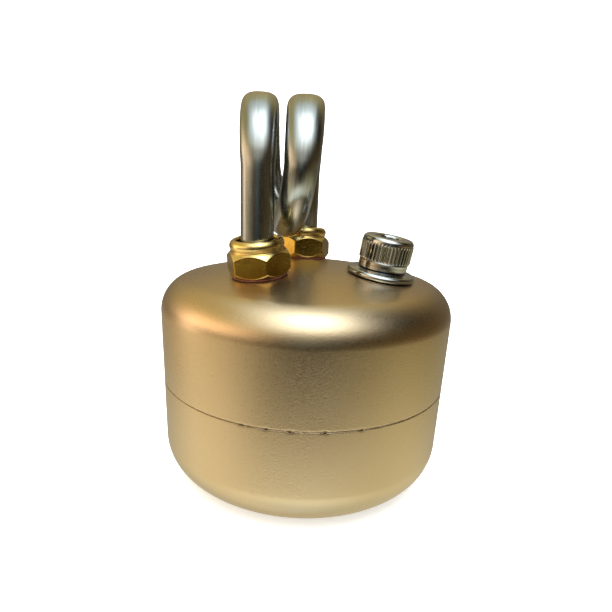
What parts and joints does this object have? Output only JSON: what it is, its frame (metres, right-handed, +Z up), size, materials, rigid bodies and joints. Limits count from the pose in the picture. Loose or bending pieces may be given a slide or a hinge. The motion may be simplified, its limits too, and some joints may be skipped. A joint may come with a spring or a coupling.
{
  "type": "vaporising spirit burner",
  "caption": "Model engine's spirit burner: round aluminium tank with a bent stainless vaporising tube in brass glands and a knurled screw as filler plug.",
  "frame": {"origin": "centre of the tank's flat underside", "axes": "+Z up along the tank's axis; +X towards the side with the filler screw; -Y towards the side with the front tube leg"},
  "size_m": [0.0788, 0.0788, 0.1003],
  "materials": {
    "tank": "champagne anodised, bead blasted satin",
    "tube": "drawn stainless, bright",
    "gland": "turned, bright",
    "plating": "bright zinc plated",
    "sealant": "dark brown, matt",
    "fibre": "red-brown fibre",
    "seal": "black",
    "wick": "natural cotton"
  },
  "bodies": {
    "tank": {"lower_shell": "tank", "upper_shell": "tank", "seam_sealant": "sealant", "vaporiser_coil": "tube", "front_nut": "gland", "rear_nut": "gland", "front_ferrule": "gland", "rear_ferrule": "gland", "front_stud": "gland", "rear_stud": "gland", "front_washer": "fibre", "rear_washer": "fibre", "front_inner_seal": "fibre", "rear_inner_seal": "fibre", "front_wick": "wick", "rear_wick": "wick", "filler_bush": "gland"},
    "filler_lift": {"filler_seal": "seal", "filler_washer": "plating"},
    "filler_plug": {"filler_screw": "plating"}
  },
  "joints": [
    {"name": "filler_rise", "type": "slide", "parent": "tank", "child": "filler_lift", "axis": [0.1397, -0.0539, 0.9887], "range_m": [0, 0.01]},
    {"name": "filler_turn", "type": "hinge", "parent": "filler_lift", "child": "filler_plug", "pos_m": [0.01891, -0.0073, 0.05747], "axis": [0.1397, -0.0539, 0.9887], "range_deg": [0, 2880]}
  ],
  "couplings": [
    {"joint": "filler_turn", "follows": "filler_rise", "rad_per_m": 5026.5}
  ]
}
